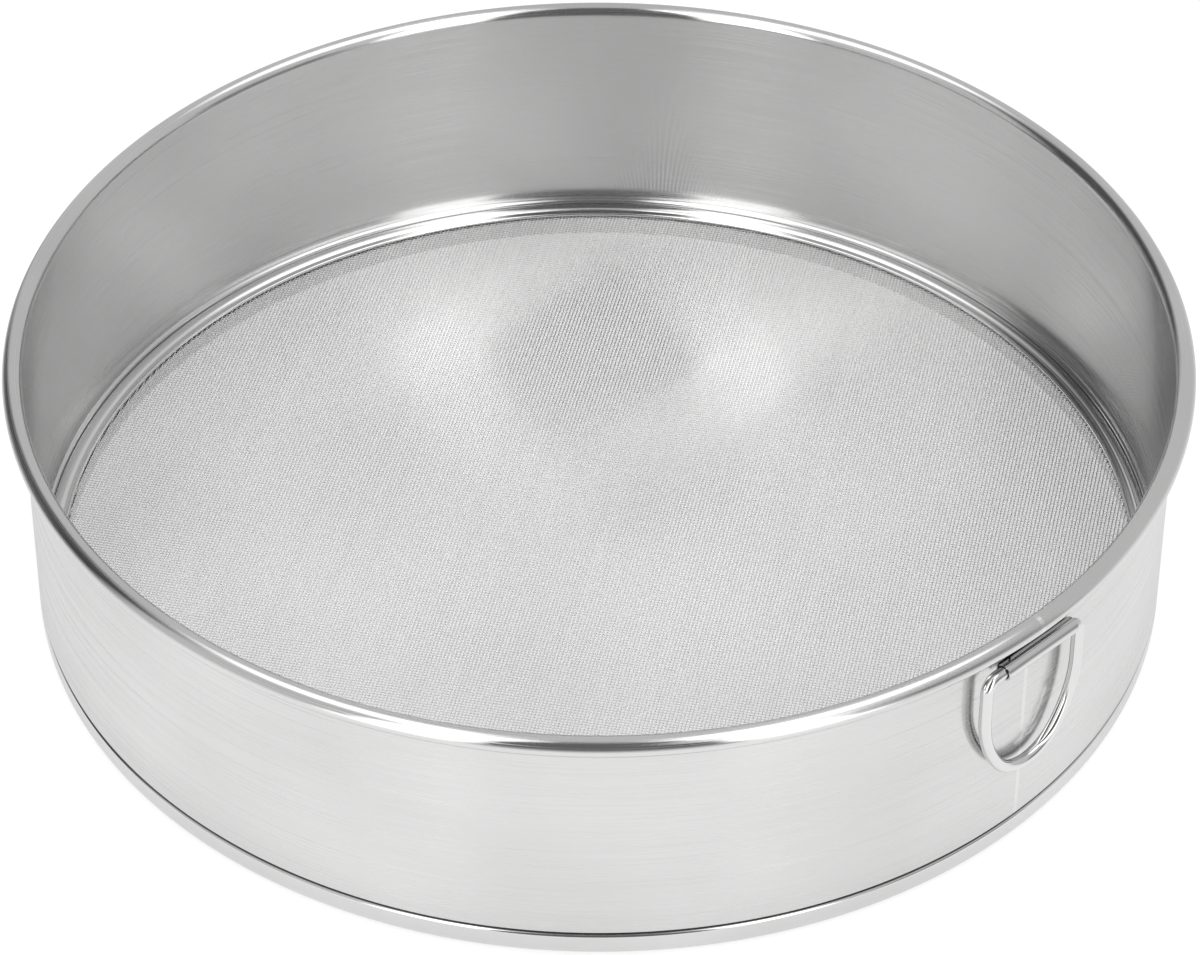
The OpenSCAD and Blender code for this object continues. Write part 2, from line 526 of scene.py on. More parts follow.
class SharedEffects:
    """Node groups that the finishes share, each built once."""

    MARK_DETAIL = 4.0
    MARK_BREAKUP = 0.65
    MARK_CORE = (0.3, 0.7)
    PATCH_DETAIL = 2.0
    PATCH_CORE = (0.35, 0.65)
    # Radii past which the joint's painted shade lies, so that it stays on the outer faces.
    OUTSIDE_R = (144.2 * MM, 144.4 * MM)

    def __init__(self) -> None:
        """Builds the groups."""
        self.hoop_marks = self._hoop_marks()
        self.handling = self._handling()
        self.weave = self._weave()
        self.recess = self._recess()

    @staticmethod
    def new_group(name: str, inputs: tuple[str, ...], output: str
                  ) -> tuple[NodeTree, NodeBench, list[NodeSocket], NodeSocket]:
        """Makes an empty group.

        Args:
            name: The group's name.
            inputs: Names of its inputs, a vector and then numbers.
            output: Name of the number that it puts out.

        Returns:
            The group, its bench, the sockets that give its inputs, and the one that takes its output.
        """
        group = bpy.data.node_groups.new(name, "ShaderNodeTree")
        kinds = ["NodeSocketVector"] + ["NodeSocketFloat"] * (len(inputs) - 1)
        for label, kind in zip(inputs, kinds):
            group.interface.new_socket(name=label, in_out="INPUT", socket_type=kind)
        group.interface.new_socket(name=output, in_out="OUTPUT", socket_type="NodeSocketFloat")
        bench = NodeBench(group)
        given = bench.add("NodeGroupInput").outputs
        return group, bench, [given[label] for label in inputs], bench.add("NodeGroupOutput").inputs[output]

    def _hoop_marks(self) -> NodeTree:
        """Fine marks that run round the drum, as rolling and polishing leave them on sheet.

        Returns:
            The group, which takes the number of marks to a metre across them and along them.
        """
        group, bench, (place, across, along), marks = self.new_group(
            "marks round the drum", ("Coordinates", "Across", "Along"), "Marks")
        x, y, z = bench.split(place)
        drawn = bench.add("ShaderNodeCombineXYZ")
        bench.join(bench.math("MULTIPLY", x, along), drawn.inputs[0])
        bench.join(bench.math("MULTIPLY", y, along), drawn.inputs[1])
        bench.join(bench.math("MULTIPLY", bench.math("ADD", bench.radius(x, y), z), across), drawn.inputs[2])
        noise = bench.noise(drawn.outputs[0], self.MARK_DETAIL, self.MARK_BREAKUP)
        bench.join(bench.spread(noise.outputs[0], *self.MARK_CORE, 0, 1), marks)
        return group

    def _handling(self) -> NodeTree:
        """Broad soft patches that handling and wiping leave on polished metal.

        Returns:
            The group, which takes the number of patches to a metre.
        """
        group, bench, (place, scale), patches = self.new_group(
            "handling patches", ("Coordinates", "Scale"), "Patches")
        noise = bench.noise(place, self.PATCH_DETAIL)
        bench.join(scale, noise.inputs["Scale"])
        bench.join(bench.spread(noise.outputs[0], *self.PATCH_CORE, 0, 1), patches)
        return group

    def _weave(self) -> NodeTree:
        """Rise and fall of plain woven wires, which run along the first two coordinates.

        Returns:
            The group, which takes the distance from wire to wire.
        """
        group, bench, (place, pitch), height = self.new_group("plain weave", ("Coordinates", "Pitch"), "Height")
        waves = []
        for along in bench.split(place)[:2]:
            turns = bench.math("DIVIDE", along, pitch)
            waves.append(bench.math("COSINE", bench.math("MULTIPLY", turns, math.pi)))
        bench.join(bench.math("MULTIPLY", *waves), height)
        return group

    def _recess(self) -> NodeTree:
        """Mask of the joint between wall and foot, where the metal's colour is darkened as painted shade and
        its roughness raised.

        Returns:
            The group, which takes the heights where the painted shade starts and where it is full.
        """
        group, bench, (place, shade_start, dull), recess = self.new_group(
            "joint recess", ("Coordinates", "Clean", "Dull"), "Recess")
        x, y, z = bench.split(place)
        depth = bench.add("ShaderNodeMapRange")
        for source, name in ((z, "Value"), (shade_start, "From Min"), (dull, "From Max")):
            bench.join(source, depth.inputs[name])
        outside = bench.spread(bench.radius(x, y), *self.OUTSIDE_R, 0, 1)
        bench.join(bench.math("MULTIPLY", depth.outputs["Result"], outside), recess)
        return group


def new_metal(name: str) -> tuple[Material, NodeBench, Node, NodeSocket]:
    """Starts a metal.

    Args:
        name: The material's name.

    Returns:
        The material, its bench, its Principled node, and the object coordinates.
    """
    material = bpy.data.materials.new(name)
    material.use_nodes = True
    bench = NodeBench(material.node_tree)
    surface = material.node_tree.nodes["Principled BSDF"]
    surface.inputs["Metallic"].default_value = 1.0
    return material, bench, surface, bench.add("ShaderNodeTexCoord").outputs["Object"]


@dataclass(frozen=True)
class PolishedSheet:
    """Polished stainless sheet or wire, with the fine marks that making it left.

    The recess is a pair of heights where the joint's painted shade and rougher metal start and where they are
    full, and no piece reaches the one given as the default.
    """

    name: str
    colour: float
    roughness: float
    anisotropy: float = 0.0
    sheen_turn: float = 0.25
    scratch_roughness: float = 0.25
    scratch_share: float = 0.45
    mark_depth: float = 0.00006 * MM
    mark_shade: float = 0.006
    marks_across: float = 14000.0
    marks_along: float = 9.0
    patch_scale: float = 14.0
    patch_shade: float = 0.03
    patch_roughness: float = 0.1
    warmth: float = 0.0015
    recess: tuple[float, float] = (0.0, -1.0)
    # Darkening of the colour in the joint between wall and foot: painted shade.
    painted_joint_shade: float = 0.5
    recess_roughness: float = 0.4

    def make(self, effects: SharedEffects) -> Material:
        """Builds the material.

        Args:
            effects: The shared node groups.

        Returns:
            The finished material.
        """
        material, bench, surface, place = new_metal(self.name)
        marks = bench.effect(effects.hoop_marks, place, Across=self.marks_across, Along=self.marks_along)
        patches = bench.effect(effects.handling, place, Scale=self.patch_scale)
        joint = bench.effect(effects.recess, place, Clean=self.recess[0], Dull=self.recess[1])
        low, high = self.colour - self.mark_shade, self.colour + self.mark_shade
        tone = bench.math("ADD", bench.spread(marks, 0, 1, low, high),
                          bench.spread(patches, 0, 1, -self.patch_shade, self.patch_shade))
        # Painted shade: darkens the colour in the joint between wall and foot, where shade falls.
        tone = bench.math("SUBTRACT", tone, bench.spread(joint, 0, 1, 0, self.painted_joint_shade))
        bench.tint(tone, self.warmth, surface.inputs["Base Color"])
        scratches = bench.spread(marks, 1 - self.scratch_share, 1, self.roughness, self.scratch_roughness)
        rough = bench.math("ADD", scratches,
                           bench.spread(patches, 0, 1, 0, self.patch_roughness * self.roughness))
        rough = bench.math("ADD", rough, bench.spread(joint, 0, 1, 0, self.recess_roughness))
        bench.join(rough, surface.inputs["Roughness"])
        bench.bump(marks, self.mark_depth, surface.inputs["Normal"])
        if self.anisotropy:
            surface.inputs["Anisotropic"].default_value = self.anisotropy
            surface.inputs["Anisotropic Rotation"].default_value = self.sheen_turn
            tangent = bench.add("ShaderNodeTangent", direction_type="RADIAL", axis="Z")
            bench.join(tangent.outputs[0], surface.inputs["Tangent"])
        return material


@dataclass(frozen=True)
class WireCloth:
    """Satin drawn wire of the woven screen, with painted light on its upper layer and painted shade on its
    lower one.
    """

    name: str
    colour: float
    roughness: float
    pitch: float
    turn: float
    crimp: float
    layers: tuple[float, float]
    stretch_shade: float = 0.02
    streak_scale: tuple[float, float, float] = (3, 260, 1)
    streak_detail: float = 2.0
    # Painted light on the upper wires and painted shade on the lower ones, set by height.
    painted_light_by_layer: float = 0.16
    patch_scale: float = 14.0
    patch_shade: float = 0.03
    crimp_roughness: float = 0.1

    def make(self, effects: SharedEffects) -> Material:
        """Builds the material.

        Args:
            effects: The shared node groups.

        Returns:
            The finished material.
        """
        material, bench, surface, place = new_metal(self.name)
        turned = bench.add("ShaderNodeMapping", vector_type="POINT")
        turned.inputs["Rotation"].default_value = (0, 0, -self.turn)
        bench.join(place, turned.inputs["Vector"])
        weave = bench.effect(effects.weave, turned.outputs[0], Pitch=self.pitch)
        patches = bench.effect(effects.handling, place, Scale=self.patch_scale)
        streaks = bench.add("ShaderNodeMapping", vector_type="POINT")
        streaks.inputs["Scale"].default_value = self.streak_scale
        bench.join(turned.outputs[0], streaks.inputs["Vector"])
        noise = bench.noise(streaks.outputs[0], self.streak_detail)
        low, high = self.colour - self.stretch_shade, self.colour + self.stretch_shade
        tone = bench.math("ADD", bench.spread(noise.outputs[0], *SharedEffects.MARK_CORE, low, high),
                          bench.spread(patches, 0, 1, -self.patch_shade, self.patch_shade))
        # Painted light and shade: the colour gets paler the higher the point, from the lower wires' middle to
        # the upper wires' middle.
        layer = bench.spread(bench.split(place)[2], *self.layers, -self.painted_light_by_layer, self.painted_light_by_layer)
        bench.tint(bench.math("ADD", tone, layer), 0.0, surface.inputs["Base Color"])
        rough = bench.spread(weave, -1, 1, (1 + self.crimp_roughness) * self.roughness,
                             (1 - self.crimp_roughness) * self.roughness)
        bench.join(rough, surface.inputs["Roughness"])
        bench.bump(weave, self.crimp, surface.inputs["Normal"])
        return material


@dataclass(frozen=True)
class Steel:
    """The sieve's finishes, made once."""

    wall: Material
    seam: Material
    foot: Material
    inner: Material
    screen: Material
    core: Material
    clip: Material
    weld: Material
    ring: Material

    @classmethod
    def mix(cls, screen: "WireScreen") -> "Steel":
        """Makes every finish.

        Args:
            screen: The screen, whose sizes the cloth's weave follows.

        Returns:
            The finishes.
        """
        # The wall's and the foot's recess heights place the painted shade in the joint between them.
        sheets = {
            "wall": PolishedSheet("polished wall sheet", 0.65, 0.11, anisotropy=1.0, scratch_roughness=0.42,
                                  recess=(8.3 * MM, 8.1 * MM)),
            "seam": PolishedSheet("ground seam weld", 0.71, 0.2, scratch_roughness=0.36, mark_shade=0.05),
            "foot": PolishedSheet("polished foot sheet", 0.68, 0.1, anisotropy=0.5,
                                  recess=(7.05 * MM, 7.25 * MM)),
            "inner": PolishedSheet("polished ring sheet", 0.76, 0.12, anisotropy=0.5),
            "core": PolishedSheet("dull core wire", 0.55, 0.42, scratch_roughness=0.6, mark_shade=0.06),
            "clip": PolishedSheet("polished clip sheet", 0.66, 0.08, scratch_roughness=0.2),
            "weld": PolishedSheet("spot weld", 0.42, 0.5, scratch_roughness=0.7, marks_along=900.0,
                                  mark_shade=0.12),
            "ring": PolishedSheet("polished ring wire", 0.69, 0.05, scratch_roughness=0.12),
            "screen": WireCloth("drawn screen wire", 0.81, 0.34, screen.pitch, math.radians(screen.turn_deg),
                                screen.crimp, screen.layer_heights),
        }
        effects = SharedEffects()
        return cls(**{part: finish.make(effects) for part, finish in sheets.items()})


# Sub-assemblies


@dataclass
class DrumShell:
    """Wall sheet with its rolled rim, its closing weld and the wire inside the rim."""

    rim_r: float
    height: float
    sheet_t: float = 0.6 * MM
    rim_wire_r: float = 1.85 * MM
    rim_wire_gap: float = 0.1 * MM
    roll_deg: float = 315
    roll_steps: int = 60
    step_in: float = 0.9 * MM
    step_z: float = 7.75 * MM
    step_h: float = 0.5 * MM
    skirt_z: float = 3.5 * MM
    step_soften: float = 0.3 * MM
    seam_w: float = 1.2 * MM
    steps_round: int = 480

    @classmethod
    def from_frame(cls) -> "DrumShell":
        """Takes the rim's radius and the height from the CAD wall."""
        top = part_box("drum_wall")[1]
        return cls(rim_r=top.y, height=top.z)

    @property
    def curl_in(self) -> float:
        """Inner radius of the rolled rim."""
        return self.rim_wire_r + self.rim_wire_gap

    @property
    def curl_out(self) -> float:
        """Outer radius of the rolled rim."""
        return self.curl_in + self.sheet_t

    @property
    def wall_in(self) -> float:
        """Inner radius of the wall."""
        return self.rim_r - 2 * self.curl_out

    @property
    def wall_out(self) -> float:
        """Outer radius of the wall."""
        return self.wall_in + self.sheet_t

    @property
    def seam_angle(self) -> float:
        """Angle that the closing weld takes up."""
        return 2 * math.asin(self.seam_w / 2 / self.wall_out)

    def section(self) -> Section:
        """Draws the sheet's section, from its stepped lower edge to the rolled rim.

        Returns:
            The closed section.
        """
        curl_x = self.rim_r - self.curl_out
        curl_z = self.height - self.curl_out
        ledge = self.wall_in - self.step_in
        outline = Section(ledge, self.skirt_z)
        outline.line(ledge, self.step_z + self.step_h, self.step_soften)
        outline.line(self.wall_in, self.step_z + 2 * self.step_h, self.step_soften)
        outline.line(self.wall_in, curl_z)
        outline.arc(curl_x, curl_z, -self.roll_deg, self.roll_steps)
        tuck = math.radians(180 - self.roll_deg)
        outline.line(curl_x + self.curl_in * math.cos(tuck), curl_z + self.curl_in * math.sin(tuck))
        outline.arc(curl_x, curl_z, self.roll_deg, self.roll_steps // 2)
        outline.line(self.wall_out, self.step_z + self.step_h, self.step_soften)
        outline.line(self.wall_out - self.step_in, self.step_z, self.step_soften)
        outline.line(self.wall_out - self.step_in, self.skirt_z)
        return outline.line(ledge, self.skirt_z).close()

    def build(self, frame: dict, steel: Steel) -> None:
        """Builds the wall sheet and the closing weld, and dresses the rim wire.

        Args:
            frame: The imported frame.
            steel: The finishes.
        """
        seam_side = -QUARTER_TURN
        half_seam = self.seam_angle / 2
        wall = self.section().turn(seam_side + half_seam, FULL_TURN - self.seam_angle, self.steps_round)
        make_piece("wall_sheet", wall, Body.DRUM, steel.wall, ("drum_wall",))
        weld = self.section().turn(seam_side - half_seam, self.seam_angle, 2)
        make_piece("closing_weld", weld, Body.DRUM, steel.seam, ("seam_weld",))
        dress_node(frame, "rim_wire", steel.core)


@dataclass
class FootRing:
    """Channel of rolled sheet that the sieve stands on."""

    out_r: float
    height: float
    width: float = 6.6 * MM
    sheet_t: float = 0.8 * MM
    corner_r: float = 3.4 * MM
    corner_steps: tuple[int, int] = (20, 12)
    inner_corner_r: float = 2.0 * MM
    inner_corner_steps: tuple[int, int] = (12, 8)
    edge_r: float = 0.9 * MM
    edge_steps: int = 12
    seat_drop: float = 1.25 * MM
    steps_round: int = 480

    @classmethod
    def from_frame(cls, shell: DrumShell) -> "FootRing":
        """Stands under the wall, as high as the CAD ring."""
        return cls(out_r=shell.wall_out, height=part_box("foot_ring")[1].z)

    def build(self, steel: Steel) -> None:
        """Builds the ring: down its inner side, up its outer side, and back inside the channel.

        Args:
            steel: The finishes.
        """
        in_r = self.out_r - self.width
        seat_z = self.height - self.seat_drop
        outline = Section(in_r, seat_z)
        outline.line(in_r, self.inner_corner_r)
        outline.arc(in_r + self.inner_corner_r, self.inner_corner_r, 90, self.inner_corner_steps[0])
        outline.line(self.out_r - self.corner_r, 0)
        outline.arc(self.out_r - self.corner_r, self.corner_r, 90, self.corner_steps[0])
        edge_a = math.acos(1 - self.sheet_t / self.edge_r)
        edge_z = self.height - self.edge_r * math.sin(edge_a)
        outline.line(self.out_r, edge_z)
        outline.arc(self.out_r - self.edge_r, edge_z, math.degrees(edge_a), self.edge_steps)
        outline.line(self.out_r - self.sheet_t, self.corner_r)
        outline.arc(self.out_r - self.corner_r, self.corner_r, -90, self.corner_steps[1])
        outline.line(in_r + self.inner_corner_r, self.sheet_t)
        outline.arc(in_r + self.inner_corner_r, self.inner_corner_r, -90, self.inner_corner_steps[1])
        outline.line(in_r + self.sheet_t, seat_z)
        outline.line(in_r, seat_z)
        ring = outline.close().turn(0, FULL_TURN, self.steps_round)
        make_piece("foot_channel", ring, Body.DRUM, steel.foot, ("foot_ring",))


@dataclass
class InnerRing:
    """Pressed ring that grips the screen: rounded lip, valley, bead and skirt."""

    out_r: float
    base_z: float
    crest_z: float
    sheet_t: float = 0.6 * MM
    bead_w: float = 3.2 * MM
    bead_h: float = 0.55 * MM
    bead_steps: tuple[int, int] = (24, 12)
    lip_r: float = 0.5 * MM
    lip_x: float = 139.4 * MM
    lip_rise: float = 0.35 * MM
    lip_steps: int = 24
    valley_soften: float = 0.3 * MM
    steps_round: int = 480

    @classmethod
    def from_frame(cls) -> "InnerRing":
        """Takes the ring's outer radius and heights from the CAD ring."""
        low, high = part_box("inner_ring")
        return cls(out_r=high.y, base_z=low.z, crest_z=high.z)

    def build(self, steel: Steel) -> None:
        """Builds the ring: round the lip, over the valley and the bead, and back underneath.

        Args:
            steel: The finishes.
        """
        valley_z = self.crest_z - self.bead_h
        under_z = valley_z - self.sheet_t
        bead_r = self.bead_w ** 2 / (8 * self.bead_h) + self.bead_h / 2
        bead_x = self.out_r - self.bead_w / 2
        bead_z = self.crest_z - bead_r
        half_bead = math.degrees(math.asin(self.bead_w / 2 / bead_r))
        in_bead = bead_r - self.sheet_t
        low_a = math.degrees(math.asin((under_z - bead_z) / in_bead))
        high_a = math.degrees(math.acos((self.bead_w / 2 - self.sheet_t) / in_bead))
        lip_z = valley_z - self.lip_rise
        below_a = math.degrees(math.asin((under_z - lip_z) / self.lip_r))
        above_a = math.degrees(math.asin((valley_z - lip_z) / self.lip_r))
        outline = Section(self.lip_x + self.lip_r * math.cos(math.radians(below_a)), under_z)
        outline.arc(self.lip_x, lip_z, above_a - below_a - 360, self.lip_steps)
        outline.line(self.out_r - self.bead_w, valley_z, self.valley_soften)
        outline.arc(bead_x, bead_z, -2 * half_bead, self.bead_steps[0])
        outline.line(self.out_r, self.base_z)
        outline.line(self.out_r - self.sheet_t, self.base_z)
        outline.line(self.out_r - self.sheet_t, bead_z + in_bead * math.sin(math.radians(high_a)))
        outline.arc(bead_x, bead_z, 180 - low_a - high_a, self.bead_steps[1])
        outline.line(self.lip_x + self.lip_r * math.cos(math.radians(below_a)), under_z)
        ring = outline.close().turn(0, FULL_TURN, self.steps_round)
        make_piece("screen_ring", ring, Body.DRUM, steel.inner, ("inner_ring",))


@dataclass
class WireScreen:
    """Disc of fine wire cloth, two crossing sets of wires, with the hoop that stretches it."""

    low_z: float
    high_z: float
    radius: float = 142.6 * MM
    wire_r: float = 0.16 * MM
    pitch: float = 0.94 * MM
    turn_deg: float = 33.6
    wire_sides: int = 6
    crease: float = 75.0

    @classmethod
    def from_frame(cls) -> "WireScreen":
        """Takes the heights of the cloth's two faces from the CAD screen."""
        low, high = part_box("screen_mesh")
        return cls(low_z=low.z, high_z=high.z)

    @property
    def crimp(self) -> float:
        """Depth of the weave's waves, a sixth of the wire's radius."""
        return self.wire_r / 6

    @property
    def layer_heights(self) -> tuple[float, float]:
        """Heights of the middle of the lower and of the upper wires."""
        return self.low_z + self.wire_r, self.high_z - self.wire_r

    def build(self, frame: dict, steel: Steel) -> None:
        """Builds the cloth wire by wire, and dresses the hoop.

        Args:
            frame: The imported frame.
            steel: The finishes.
        """
        bm = bmesh.new()
        rows = int(self.radius / self.pitch - 0.5)
        lower, upper = self.layer_heights
        for layer_turn, height in ((0.0, upper), (QUARTER_TURN, lower)):
            turned = Matrix.Rotation(math.radians(self.turn_deg) + layer_turn, 4, "Z")
            for row in range(-rows - 1, rows + 1):
                offset = (row + 0.5) * self.pitch
                chord = 2 * math.sqrt(self.radius ** 2 - offset ** 2)
                place = turned @ Matrix.Translation((0, offset, height)) @ Matrix.Rotation(QUARTER_TURN, 4, "Y")
                bmesh.ops.create_cone(bm, cap_ends=True, segments=self.wire_sides, radius1=self.wire_r,
                                      radius2=self.wire_r, depth=chord, matrix=place)
        make_piece("wire_cloth", bm, Body.DRUM, steel.screen, ("screen_mesh",), self.crease)
        dress_node(frame, "screen_hoop", steel.core)


@dataclass
class RingClip:
    """Rolled sheet clip whose barrel holds the hanging ring, with its leaf on the wall."""

    left: float
    right: float
    axis_y: float
    axis_z: float
    barrel_r: float = 2.2 * MM
    barrel_steps: tuple[int, int] = (64, 56)
    sheet_t: float = 0.4 * MM
    slit_w: float = 0.3 * MM
    leaf_w: float = 16 * MM
    leaf_h: float = 4.8 * MM
    facing_up: float = 0.99

    @classmethod
    def from_frame(cls, frame: dict) -> "RingClip":
        """Lies on the ring's hinge axis, from end to end of the CAD barrel.

        Args:
            frame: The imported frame.

        Returns:
            The clip.
        """
        low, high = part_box("ring_clip")
        _, axis_y, axis_z = frame["joints"][0]["pos_m"]
        return cls(left=low.x, right=high.x, axis_y=axis_y, axis_z=axis_z)

    @property
    def bore_r(self) -> float:
        """Inner radius of the barrel."""
        return self.barrel_r - self.sheet_t

    def section(self) -> Section:
        """Draws the barrel's section, with the stub that the leaf rises from.

        Returns:
            The closed section.
        """
        slit_x = self.bore_r - self.slit_w
        out_a = math.acos(slit_x / self.barrel_r)
        in_a = math.acos(slit_x / self.bore_r)
        outline = Section(self.barrel_r, self.bore_r)
        outline.line(self.barrel_r, 0)
        outline.arc(0, 0, math.degrees(out_a) - 360, self.barrel_steps[0])
        outline.line(slit_x, self.bore_r * math.sin(in_a))
        outline.arc(0, 0, 360 - math.degrees(in_a), self.barrel_steps[1])
        outline.line(self.bore_r, self.bore_r)
        return outline.line(self.barrel_r, self.bore_r).close()

    def _draw_out(self, bm: BMesh, faces: list[BMFace], way: Vector
                  ) -> list[BMFace]:
        """Draws faces out.

        Args:
            bm: The clip's mesh.
            faces: The faces, which stay where they are.
            way: How far and which way.

        Returns:
            The faces at the far end.
        """
        drawn = bmesh.ops.extrude_face_region(bm, geom=faces)["geom"]
        moved = [item for item in drawn if isinstance(item, BMVert)]
        bmesh.ops.translate(bm, verts=moved, vec=way)
        return [item for item in drawn if isinstance(item, BMFace)]

    def _tops_stub(self, face: BMFace) -> bool:
        """Tells whether a face is the top of the stub under the leaf.

        Args:
            face: A face of the barrel.

        Returns:
            True for the one that the leaf rises from.
        """
        centre = face.calc_center_median()
        middle = (self.left + self.right) / 2
        return (face.normal.z > self.facing_up and abs(centre.x - middle) < MM
                and math.isclose(centre.z, self.axis_z + self.bore_r, abs_tol=MERGE_GAP))

    def build(self, frame: dict, steel: Steel) -> None:
        """Builds the barrel, draws the leaf up from its stub, and dresses the spot welds.

        Args:
            frame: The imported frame.
            steel: The finishes.
        """
        bm = self.section().bm
        to_wall = Matrix.Rotation(QUARTER_TURN, 4, "Z")
        bmesh.ops.transform(bm, matrix=Matrix.Translation((self.left, self.axis_y, self.axis_z)) @ to_wall,
                            verts=bm.verts)
        bmesh.ops.contextual_create(bm, geom=bm.edges[:])
        beside_leaf = (self.right - self.left - self.leaf_w) / 2
        head = bm.faces[:]
        for length in (beside_leaf, self.leaf_w, beside_leaf):
            head = self._draw_out(bm, head, Vector((length, 0, 0)))
        bmesh.ops.recalc_face_normals(bm, faces=bm.faces)
        stub = [face for face in bm.faces if self._tops_stub(face)]
        self._draw_out(bm, stub, Vector((0, 0, self.leaf_h - self.bore_r)))
        bmesh.ops.delete(bm, geom=stub, context="FACES_ONLY")
        bmesh.ops.remove_doubles(bm, verts=bm.verts, dist=MERGE_GAP)
        bmesh.ops.recalc_face_normals(bm, faces=bm.faces)
        make_piece("clip_sheet", bm, Body.DRUM, steel.clip, ("ring_clip",))
        dress_node(frame, "clip_welds", steel.weld)


@dataclass
class HangingRing:
    """D-shaped ring of round wire that swings in the clip."""

    middle: Vector
    wire_r: float = 1.55 * MM
    wire_sides: int = 40
    bend_r: float = 3.2 * MM
    bend_steps: int = 24
    leg_x: float = 16.15 * MM
    leg_len: float = 11.6 * MM
    side_steps: int = 20
    toe_r: float = 12.6 * MM
    toe_steps: int = 48

    @classmethod
    def from_frame(cls, frame: dict) -> "HangingRing":
        """Hangs from the hinge axis at the place of the CAD ring.

        Args:
            frame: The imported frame.

        Returns:
            The ring.
        """
        low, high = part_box("hanging_ring")
        _, axis_y, axis_z = frame["joints"][0]["pos_m"]
        return cls(middle=Vector(((low.x + high.x) / 2, axis_y, axis_z)))

    def build(self, steel: Steel) -> None:
        """Draws the wire round from the middle of the straight side and back to it.

        The side arcs run smoothly into the toe, because their centres make a triangle of 3, 4 and 5.

        Args:
            steel: The finishes.
        """
        side_deg = math.degrees(math.atan(3 / 4))
        side_r = self.leg_x + 4 * (self.leg_x - self.toe_r)
        half_side = self.leg_x - self.bend_r
        leg = self.leg_len - self.bend_r
        wire = BentWire(self.middle, self.wire_r, self.wire_sides)
        wire.straight(half_side).bend(self.bend_r, 90, self.bend_steps).straight(leg)
        wire.bend(side_r, side_deg, self.side_steps)
        wire.bend(self.toe_r, 180 - 2 * side_deg, self.toe_steps)
        wire.bend(side_r, side_deg, self.side_steps)
        wire.straight(leg).bend(self.bend_r, 90, self.bend_steps).straight(half_side)
        make_piece("ring_of_wire", wire.join_ends(), Body.RING, steel.ring, ("hanging_ring",))


# Studio


@dataclass(frozen=True)
class Panel:
    """Light or dark part of the studio, in degrees from the camera's azimuth and from level."""

    azimuth: float
    half_width: float
    low: float
    high: float
    tone: float
    blur: float = 6.0


